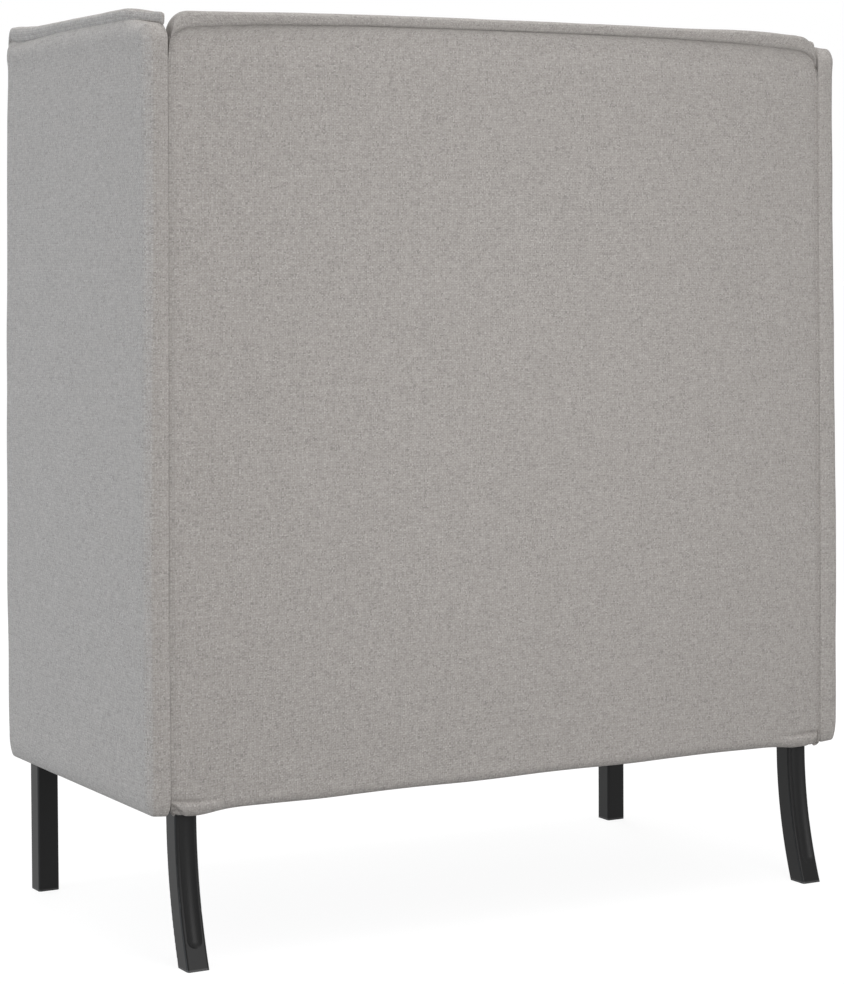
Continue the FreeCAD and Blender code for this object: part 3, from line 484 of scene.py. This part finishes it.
def welt(inner, outer, lateral, half_width, ends, power, flare, seed):
    """Stuffed band between two lines.

    The height of its rounded section runs from the inner to the outer line, and its
    half width along the lateral axis, wider by the flare at the outer line. A higher
    power squares the section. Each end closes over a quarter ellipse of a length in ends.
    """
    steps, uneven = 40, 0.03
    middle = (inner + outer) / 2
    length = lengths_along(middle)[: len(middle)]
    gap = np.minimum(length / ends[0], (length[-1] - length) / ends[1])
    shut = np.sqrt(np.clip(1 - (1 - np.clip(gap, 0, 1)) ** 2, 0, 1))[:, None, None]
    angle = np.linspace(0, 2 * np.pi, steps, endpoint=False)
    cos, sin = np.cos(angle), np.sin(angle)
    wide = (np.sign(cos) * np.abs(cos) ** (2 / power))[None, :, None]
    tall = (np.sign(sin) * np.abs(sin) ** (2 / power))[None, :, None]
    plump = 1 + uneven * waves(14 * length, 0 * length, seed)[:, None, None]
    points = middle[:, None, :] + shut * tall * plump * ((outer - inner) / 2)[:, None, :]
    spread = np.broadcast_to(half_width, length.shape)[:, None, None]
    return points + np.sqrt(shut) * wide * (1 + flare * tall) * spread * np.asarray(lateral)[None, None, :]


def wing_band(side, sign):
    """Band of a wing: along the top, round the front corner and down the front edge.

    Towards its rear end it drops and narrows to its inner edge, against the back.
    It lifts towards the front corner. Below the corner the front strip stands out
    further, and at the hem it is tucked in.
    """
    low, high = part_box(side + "_wing_band")
    seam_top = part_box(side + "_wing_outer_cover")[1].z
    middle = sign * (low.x + high.x) / 2
    rear_gap, rear_skew, corner_depth, corner_drop = 0.0108, 0.0093, 0.021, 0.010
    rear_end, corner = high.y - rear_gap + rear_skew * sign, low.y + corner_depth
    bend_end, foot = seam_top - corner_drop, low.z + 0.001
    along = np.linspace(rear_end, corner, 90)
    turn = np.linspace(0, np.pi / 2, 16)[1:-1]
    down = np.linspace(bend_end, foot, 130)
    drop = rising(along - rear_end, start=-0.10, span=0.10)
    lift = rising(corner - along, start=-0.12, span=0.12)

    seam_reach, seam_bend, seam_low, seam_lift, seam_drop = 0.006, 0.006, 0.002, 0.004, 0.010
    strip = np.full(len(down), corner - seam_reach)
    inner_y = np.concatenate([along, corner - seam_reach * np.sin(turn), strip])
    sag = front_sag(along, low.y + wing_setback)
    seam = seam_top - seam_low + seam_lift * lift - seam_drop * drop - sag
    front_seam = seam_top - seam_low + seam_lift
    inner_z = np.concatenate([seam, front_seam - seam_bend * (1 - np.cos(turn)), down])

    reach, bend_crest = 0.010, high.z + 0.0065
    stand_out = 0.0030 * rising(seam_top - down, start=0.021, span=0.014)
    stand_out = stand_out + 0.0035 * rising(seam_top - down, start=0.028, span=0.09)
    tuck = 0.002 * rising(low.z - down, start=-0.034, span=0.03)
    outer_y = np.concatenate([along, corner - reach * np.sin(turn), corner - reach - stand_out + tuck])
    top_high, top_lift, top_drop, drop_skew = 0.001, 0.005, 0.0120, 0.0015
    top = high.z + top_high + top_lift * lift - (top_drop - drop_skew * sign) * drop
    outer_z = np.concatenate([top, bend_end + (bend_crest - bend_end) * np.cos(turn), down])

    narrow = 1 - rising(rear_end - along, start=0, span=0.095)
    front_half, top_half, end_loss, end_shift = 0.0125, 0.0150, 0.0120, 0.0125
    to_front = rising(corner - along, start=-0.03, span=0.03)
    top_halves = top_half - end_loss * narrow - (top_half - front_half) * to_front
    half = np.concatenate([top_halves, np.full(len(turn) + len(down), front_half)])
    shift = [outer_lean + end_shift * narrow, np.full(len(turn), outer_lean), outer_lean * lean(down)]
    across = sign * (middle - np.concatenate(shift))
    inner = np.stack([across, inner_y, inner_z], -1)
    outer = np.stack([across, outer_y, outer_z], -1)
    ends = (0.016, 0.006)
    points = welt(inner, outer, (sign, 0, 0), half, ends, power=3.0, flare=0.13, seed=0.4 + sign)
    made = piece(side + "_wing_welt", points, "frame", cover_cloth)
    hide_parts(side + "_wing_band")
    return made


for side, sign in (("left", 1), ("right", -1)):
    wing(side, sign)
    wing_band(side, sign)


# Back

seam_inset, seam_below, seam_rise = 0.007, 0.027, 0.009  # band's seam against the box of the band
corner_wide, corner_tall = 0.048, 0.028  # ellipse of the seam at the top corners


def band_line(inset, below, rise, wide, tall, plump=0.0):
    """A line of the back's band in the upright plane, as x and z from left to right.

    An ellipse round each top corner and a crowned line between them, with a plump
    place to the right of the middle.
    """
    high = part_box("back_band")[1]
    turn = np.linspace(-0.25, np.pi / 2, 22)
    across = np.linspace(1, -1, 160)[1:-1]
    centre_x, top = high.x - inset - wide, high.z - below
    corner_x = centre_x + wide * np.cos(turn)
    corner_z = top - tall + tall * np.sin(turn)
    middle_x = centre_x * across
    middle_z = top + rise * (1 - np.abs(across) ** 3) + plump * bell(middle_x, centre=-0.44, width=0.08)
    x = np.concatenate([corner_x, middle_x, -corner_x[::-1]])
    z = np.concatenate([corner_z, middle_z, corner_z[::-1]])
    return x, z


def hem_droop(along, x):
    """How far the hem hangs: a little everywhere, more past the corner folds and at the right corner."""
    everywhere, past_fold, at_corner, uneven = 0.0042, 0.005, 0.005, 0.0006
    fold = past_fold * bell(along, centre=0.045, width=0.036)
    right_corner = at_corner * bell(along, centre=0, width=0.02) * (x < 0)
    return everywhere + fold + right_corner + uneven * np.sin(23 * x)


def corner_fold(along, up):
    """Envelope fold at a lower corner, as depth over the length along the hem and the height.

    A crease runs nearly level from the corner and fades; below it the cloth rolls out.
    A second crease drops from the corner to the hem, and the corner is tucked in behind it.
    """
    fold_height, fall, slant_foot, tuck_end = 0.021, 0.035, 0.026, 0.034
    crease_depth, roll_depth, tuck_depth = 0.0050, 0.0042, 0.0055
    fade = 1 - rising(along, start=0, span=0.1)
    line = up - (fold_height - fall * along)
    crease = -crease_depth * bell(line, centre=0, width=0.0024)
    roll = roll_depth * rising(-line, start=0, span=0.005) * rising(along, start=0, span=0.016)
    slant = up - fold_height * (1 - along / slant_foot)
    tuck = -tuck_depth * rising(-slant, start=0, span=0.0028) * (along < tuck_end)
    return (crease + roll) * fade + tuck


def back():
    """Padded back: rings in plan carried up a profile of hem, wall, neck and rounded top corners.

    The top is crowned like the seam of the band. The lower corners are folded, the
    hem of the rear face hangs, and the rear face rolls in to the wings at its sides.
    """
    outer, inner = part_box("back_outer_cover"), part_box("back_inner_cover")
    half = outer[1].x
    front, rear, floor = inner[0].y, outer[1].y, outer[0].z
    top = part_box("back_band")[1].z - seam_below
    shoulder = top - corner_tall
    deep = (rear - front) / 2
    turn = np.linspace(0, np.pi / 2, 11)
    shut = np.linspace(1, 0, 6)[:-1]
    lift = np.linspace(0, 1, 7)[:-1]
    hem, neck_tall, wall_levels = 0.014, 0.03, 140
    t = ease(np.linspace(0, 1, wall_levels + 2)[1:-1], pull=0.8)
    wall = floor + hem + (shoulder - neck_tall - floor - hem) * t
    neck = shoulder - neck_tall + neck_tall * lift
    levels = [np.full(len(shut), floor), floor + hem * (1 - np.cos(turn)), wall, neck]
    z = column(*levels, shoulder + corner_tall * np.sin(turn), np.full(len(shut), top))

    side_hem, neck_bow = 0.008, seam_inset - inner_lean
    lower = [side_hem + (deep - side_hem) * shut, side_hem * (1 - np.sin(turn))]
    bow = inner_lean + neck_bow * rising(neck, start=neck[0], span=neck_tall)
    rounded = seam_inset + corner_wide * (1 - np.cos(turn))
    closed = seam_inset + corner_wide + (deep - seam_inset) * shut[::-1]
    narrow = column(*lower, inner_lean * lean(wall), bow, rounded, closed)

    rear_hem, neck_pull, top_pull = 0.011, 0.0025, 0.007
    lower = [rear_hem + (deep - rear_hem) * shut, rear_hem * (1 - np.sin(turn))]
    rounded = neck_pull + (top_pull - neck_pull) * (1 - np.cos(turn))
    closed = top_pull + (deep - top_pull) * shut[::-1]
    pull = column(*lower, np.zeros(wall_levels), neck_pull * lift ** 2, rounded, closed)

    corner_radius = 0.0015
    radii = [np.maximum(corner_radius - pull, 0.0)] * 4
    bounds = (-half + narrow, half - narrow, front + pull, rear - pull)
    x, y, _, ny = plan_rings(*bounds, radii, sides=(160, 12, 160, 12), bend=6, pull=0.8)
    z = z + 0 * x
    from_side = half - np.abs(x)
    span = half - seam_inset - corner_wide
    crowning = seam_rise * (1 - np.clip(np.abs(x) / span, 0, 1) ** 3)
    z = z + crowning * rising(z - top, start=-0.25, span=0.25)

    hollow, uneven, hem_reach = 0.004, 0.0008, 0.0125
    both_faces, rear_face = np.abs(ny) > 0.5, ny > 0.5
    swell = -hollow * np.clip(x / half, -1, 1) ** 2 * both_faces
    swell = swell + uneven * waves(8 * x, 7 * z, seed=2.2) * np.abs(ny)
    gathers = puckers(x, np.abs(top + crowning - z), depth=0.0006, reach=0.02, seed=0.7)
    swell = swell + gathers * both_faces
    swell = swell + corner_fold(from_side, z - floor) * rear_face
    y = y + ny * swell * (pull < hem_reach)
    y = y - valley(from_side - narrow, y - rear)
    hanging = rising(y - rear, start=-0.017, span=0.006) * (1 - rising(z - floor, start=0, span=0.07))
    z = z - hem_droop(from_side, x) * hanging
    points = np.stack([x, y, z], -1)
    made = piece("back", points, "frame", cover_cloth)
    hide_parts("back_outer_cover", "back_inner_cover", "back_outer_pad", "back_foam")
    return made


def back_band():
    """Band of the back between its seam and its crest, thinning out at both top corners."""
    low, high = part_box("back_band")
    seam_x, seam_z = band_line(seam_inset, seam_below, seam_rise, corner_wide, corner_tall)
    crest_x, crest_z = band_line(0.0115, below=0.007, rise=0.007, wide=0.027, tall=0.0295, plump=0.0035)
    gap, thinning, tucked = 0.0015, 0.026, 0.12
    thin = rising(np.abs(crest_x), start=0.41, span=0.15)
    half = (high.y - low.y) / 2 - gap - thinning * thin
    middle_y = high.y - gap - half
    inner = np.stack([seam_x, middle_y, seam_z], -1)
    outer = np.stack([crest_x, middle_y, crest_z], -1)
    inner = inner - tucked * (outer - inner)
    points = welt(inner, outer, (0, 1, 0), half, (0.02, 0.02), power=3.6, flare=0.05, seed=2.6)
    made = piece("back_welt", points, "frame", cover_cloth)
    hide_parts("back_band")
    return made


back()
back_band()


# Seat

def seat_base():
    """Covered seat base: rings in plan with a soft upper and lower edge."""
    low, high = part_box("seat_base_cover")
    half, front, rear = high.x, low.y, high.y
    deep = (rear - front) / 2
    turn = np.linspace(0, np.pi / 2, 7)
    shut = np.linspace(1, 0, 8)[:-1]
    lower_edge, upper_edge, sunk = 0.008, 0.006, 0.003
    wall = np.linspace(low.z + lower_edge, high.z - upper_edge, 18)[1:-1]
    levels = [np.full(len(shut), low.z), low.z + lower_edge * (1 - np.cos(turn)), wall]
    edge = high.z - upper_edge + upper_edge * np.sin(turn)
    z = column(*levels, edge, np.full(len(shut), high.z - sunk))
    pull = insets(deep, lower_edge, upper_edge, len(wall), turn, shut)
    front_radius, rear_radius, uneven, edge_reach = 0.014, 0.004, 0.0007, 0.009
    corners = (front_radius, front_radius, rear_radius, rear_radius)
    radii = [np.maximum(r - pull, 0.0) for r in corners]
    bounds = (-half + pull, half - pull, front + pull, rear - pull)
    x, y, _, ny = plan_rings(*bounds, radii, sides=(150, 40, 150, 40), bend=6)
    z = z + 0 * x
    front_face = (ny < -0.5) * (pull < edge_reach)
    y = y + ny * front_face * uneven * waves(9 * x, 30 * z, seed=4.1)
    made = piece("seat_base", np.stack([x, y, z], -1), "frame", cover_cloth)
    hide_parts("seat_base_cover", "seat_base_foam")
    return made


def points_of(mesh):
    """Points of a mesh, one row of x, y and z each."""
    points = np.empty(len(mesh.vertices) * 3)
    mesh.vertices.foreach_get("co", points)
    return points.reshape(-1, 3)


def take_shape(obj):
    """Replace the mesh of an object by what its modifiers make of it."""
    shaped = bpy.data.meshes.new_from_object(obj.evaluated_get(bpy.context.evaluated_depsgraph_get()))
    obj.modifiers.clear()
    obj.data = shaped
    return shaped


def swollen(obj, size, pressure, cap, held):
    """Blow a closed case up with a cloth simulation and return its points.

    The case is remeshed into even cells of the given size. The points that held
    picks are pinned. Each point moves by the cap at most.
    """
    frames = 20
    even = obj.modifiers.new("even", "REMESH")
    even.mode, even.voxel_size = "VOXEL", size
    start = points_of(take_shape(obj))
    pinned = obj.vertex_groups.new(name="held")
    pinned.add(np.where(held(start))[0].tolist(), 1.0, "REPLACE")
    cloth = obj.modifiers.new("swell", "CLOTH")
    settings = cloth.settings
    settings.quality, settings.mass, settings.air_damping = 5, 0.3, 1.0
    settings.tension_stiffness = settings.compression_stiffness = 15.0
    settings.use_pressure, settings.uniform_pressure_force = True, pressure
    settings.vertex_group_mass = "held"
    settings.effector_weights.gravity = 0.0
    cloth.collision_settings.use_collision = False
    scene = bpy.context.scene
    for step in range(1, frames + 1):
        scene.frame_set(step)
    ended = obj.evaluated_get(bpy.context.evaluated_depsgraph_get())
    moved = points_of(ended.to_mesh()) - start
    ended.to_mesh_clear()
    obj.modifiers.clear()
    scene.frame_set(1)
    far = np.linalg.norm(moved, axis=1, keepdims=True)
    return start + moved * np.minimum(1, cap / np.maximum(far, 1e-9))


def box_uv(mesh):
    """Cloth coordinates in metres, taken from the two axes that each face lies along most."""
    normal = np.empty(len(mesh.polygons) * 3)
    mesh.polygons.foreach_get("normal", normal)
    sizes = np.empty(len(mesh.polygons), dtype=int)
    mesh.polygons.foreach_get("loop_total", sizes)
    axis = np.repeat(np.abs(normal.reshape(-1, 3)).argmax(1), sizes)
    corner = np.empty(len(mesh.loops), dtype=int)
    mesh.loops.foreach_get("vertex_index", corner)
    pick = np.array([[1, 2], [0, 2], [0, 1]])[axis]
    layer = mesh.uv_layers.get("cloth") or mesh.uv_layers.new(name="cloth")
    layer.data.foreach_set("uv", np.take_along_axis(points_of(mesh)[corner], pick, 1).ravel())


def sewn_in(points, half, front, rear, seam_low, seam_top):
    """Points of a swollen cushion drawn in along both seams of its sides, and gathered at the upper one.

    Each is drawn along x and y by the ninth power of its place, so only near the sides.
    """
    seam_width, seam_depth = 0.003, 0.0030
    x, y, z = points.T
    deep, off_y = (rear - front) / 2, y - (front + rear) / 2
    rim = rising(np.maximum(np.abs(x) - half, np.abs(off_y) - deep), start=-0.05, span=0.03)
    groove = bell(z, seam_low, seam_width) + bell(z, seam_top, seam_width)
    gathers = puckers(x + 0.8 * y, np.abs(z - seam_top), depth=0.0007, reach=0.014, seed=0.9)
    outward = np.clip(np.stack([x / half, off_y / deep], -1) ** 9, -1, 1)
    drawn = (seam_depth * groove + gathers) * rim
    return np.column_stack([points[:, :2] - drawn[:, None] * outward, z])


def cushion():
    """Loose bench cushion: a boxed case, crowned on top and flat below, swollen and sewn in at its seams."""
    low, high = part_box("seat_cushion_cover")
    play, edge, crown, crown_share = 0.004, 0.006, 0.014, 0.7
    half, front, rear = high.x - play, low.y + play, high.y - play
    seam_low, seam_top = low.z + 2 * edge, high.z - crown - play
    deep = (rear - front) / 2
    turn = np.linspace(0, np.pi / 2, 7)
    shut = np.linspace(1, 0, 16)[:-1]
    wall = low.z + edge + (seam_top - low.z - 2 * edge) * np.linspace(0, 1, 18)[1:-1]
    levels = [np.full(len(shut), low.z), low.z + edge * (1 - np.cos(turn)), wall]
    crowned = seam_top + crown_share * crown * (1 - (1 - shut[::-1]) ** 2)
    z = column(*levels, seam_top - edge + edge * np.sin(turn), crowned)
    pull = insets(deep, edge, edge, len(wall), turn, shut)
    corner_radius = 0.022
    radii = [np.maximum(corner_radius - pull, 0.0)] * 4
    bounds = (-half + pull, half - pull, front + pull, rear - pull)
    x, y = plan_rings(*bounds, radii, sides=(140, 66, 140, 66), bend=6)[:2]
    points = np.stack([x, y, z + 0 * x], -1)
    made = piece("bench_cushion", points, "seat_cushion", cover_cloth)
    underside = low.z + 0.002
    grown = swollen(made, size=0.008, pressure=4.0, cap=0.022, held=lambda p: p[:, 2] < underside)
    made.data.vertices.foreach_set("co", grown.ravel())
    rounded = made.modifiers.new("finer", "SUBSURF")
    rounded.levels = rounded.render_levels = 1
    finer = take_shape(made)
    points = sewn_in(points_of(finer), half, front, rear, seam_low, seam_top)
    gap, front_swell, top_swell = 0.0005, 0.004, 0.012
    limit_low = np.array([low.x + gap, low.y - front_swell, low.z])
    limit_high = np.array([high.x - gap, high.y - gap, high.z + top_swell])
    finer.vertices.foreach_set("co", np.clip(points, limit_low, limit_high).ravel())
    box_uv(finer)
    finer.polygons.foreach_set("use_smooth", np.ones(len(finer.polygons), dtype=bool))
    finer.materials.clear()
    finer.materials.append(cover_cloth)
    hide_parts("seat_cushion_cover", "seat_cushion_foam", "seat_cushion_base_cloth")
    return made


def sheet_piece(name, node, finish):
    """Cloth stretched flat in its node's place, as a grid."""
    low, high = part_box(node)
    u, v = np.meshgrid(np.linspace(-1, 1, 90), np.linspace(-1, 1, 46))
    x = (low.x + high.x) / 2 + u * (high.x - low.x) / 2
    y = (low.y + high.y) / 2 + v * (high.y - low.y) / 2
    level = np.full(u.shape, (low.z + high.z) / 2)
    made = piece(name, np.stack([x, y, level], -1), "frame", finish, closed=False)
    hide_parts(node)
    return made


seat_base()
cushion()
sheet_piece("dust_cloth", "dust_cover", lining_cloth)
sheet_piece("deck_cloth", "seat_deck_cloth", lining_cloth)

# Finishes of the rigid parts
for label, obj in frame["nodes"].items():
    finish = by_slot.get(slot_of.get(label), pine)
    obj.data.materials.clear()
    obj.data.materials.append(finish)


# Studio

def seen_directly(tree):
    """1 for rays from the camera, from mirrors and through glass, 0 for scattered light."""
    path = wire(tree, "ShaderNodeLightPath")
    seen = sums(tree, "MAXIMUM", path.outputs["Is Camera Ray"], path.outputs["Is Glossy Ray"])
    return sums(tree, "MAXIMUM", seen, path.outputs["Is Transmission Ray"])


def studio_floor():
    """Floor that looks white with faint shadows, and is grey to scattered light."""
    far, grey, shadow, glowing = 60.0, 0.42, 0.16, 0.9
    mesh = bpy.data.meshes.new("studio_floor")
    mesh.from_pydata([(-far, -far, 0), (far, -far, 0), (far, far, 0), (-far, far, 0)], [], [(0, 1, 2, 3)])
    floor = bpy.data.objects.new("studio_floor", mesh)
    bpy.context.scene.collection.objects.link(floor)
    pale, tree, shader = material_with("studio_white")
    tree.nodes.remove(shader)
    matt = wire(tree, "ShaderNodeBsdfDiffuse", {"Color": (grey, grey, grey, 1)})
    faint = wire(tree, "ShaderNodeBsdfDiffuse", {"Color": (shadow, shadow, shadow, 1)})
    glow = wire(tree, "ShaderNodeEmission", {"Strength": glowing})
    white = wire(tree, "ShaderNodeAddShader", {0: faint.outputs[0], 1: glow.outputs[0]})
    both = {0: seen_directly(tree), 1: matt.outputs[0], 2: white.outputs[0]}
    mixed = wire(tree, "ShaderNodeMixShader", both)
    tree.links.new(mixed.outputs[0], tree.nodes["Material Output"].inputs["Surface"])
    mesh.materials.append(pale)


def surroundings():
    """World that looks white, and lights softly, more from above than from the level."""
    at_level, above = 0.36, 0.80
    world = bpy.data.worlds.new("studio")
    world.use_nodes = True
    tree = world.node_tree
    tree.nodes.clear()
    place = wire(tree, "ShaderNodeTexCoord")
    aloft = wire(tree, "ShaderNodeSeparateXYZ", {0: place.outputs["Generated"]})
    glow = wire(tree, "ShaderNodeMapRange", {0: aloft.outputs["Z"], 1: 0.0, 2: 1.0, 3: at_level, 4: above})
    soft = wire(tree, "ShaderNodeBackground", {"Color": (1, 1, 1, 1), "Strength": glow.outputs[0]})
    white = wire(tree, "ShaderNodeBackground", {"Color": (1, 1, 1, 1), "Strength": 1.0})
    both = {0: seen_directly(tree), 1: soft.outputs[0], 2: white.outputs[0]}
    mixed = wire(tree, "ShaderNodeMixShader", both)
    end = wire(tree, "ShaderNodeOutputWorld")
    tree.links.new(mixed.outputs[0], end.inputs[0])
    bpy.context.scene.world = world


def lamp(name, place, aim, width, power, tint=(1, 1, 1)):
    """Round area lamp at a place, turned to a point."""
    light = bpy.data.lights.new(name, "AREA")
    light.shape, light.size, light.energy, light.color = "DISK", width, power, tint
    holder = bpy.data.objects.new(name, light)
    holder.location = place
    holder.rotation_euler = (Vector(aim) - Vector(place)).to_track_quat("-Z", "Y").to_euler()
    bpy.context.scene.collection.objects.link(holder)


def photo_camera():
    """Camera at the photograph's angle: place, yaw from the back, pitch down and roll."""
    place = (2.175, 3.894, 1.032)
    yaw, pitch, roll = math.radians(29.21), math.radians(2.08), math.radians(-0.29)
    camera = bpy.data.cameras.new("camera")
    camera.lens, camera.sensor_width = 100.87, 36.0
    camera.shift_y = -0.1443
    eye = bpy.data.objects.new("camera", camera)
    ahead = Vector((-math.sin(yaw) * math.cos(pitch), -math.cos(yaw) * math.cos(pitch), -math.sin(pitch)))
    level = ahead.to_track_quat("-Z", "Y").to_matrix().to_4x4()
    eye.matrix_world = Matrix.Translation(place) @ level @ Matrix.Rotation(roll, 4, "Z")
    bpy.context.scene.collection.objects.link(eye)
    bpy.context.scene.camera = eye


bpy.context.scene.view_settings.view_transform = "Standard"
studio_floor()
surroundings()
lamp("key", (0.0, 2.2, 1.05), aim=(0, 0, 0.95), width=1.4, power=20)
lamp("side", (4.2, -0.2, 0.65), aim=(0.4, 0, 0.45), width=1.2, power=61, tint=(0.82, 0.91, 1))
lamp("front", (-1.0, -3.6, 2.6), aim=(0, 0, 0.7), width=2.4, power=50)
lamp("above", (0.6, 0.4, 3.6), aim=(0.3, 0.2, 1.0), width=2.4, power=36)
photo_camera()
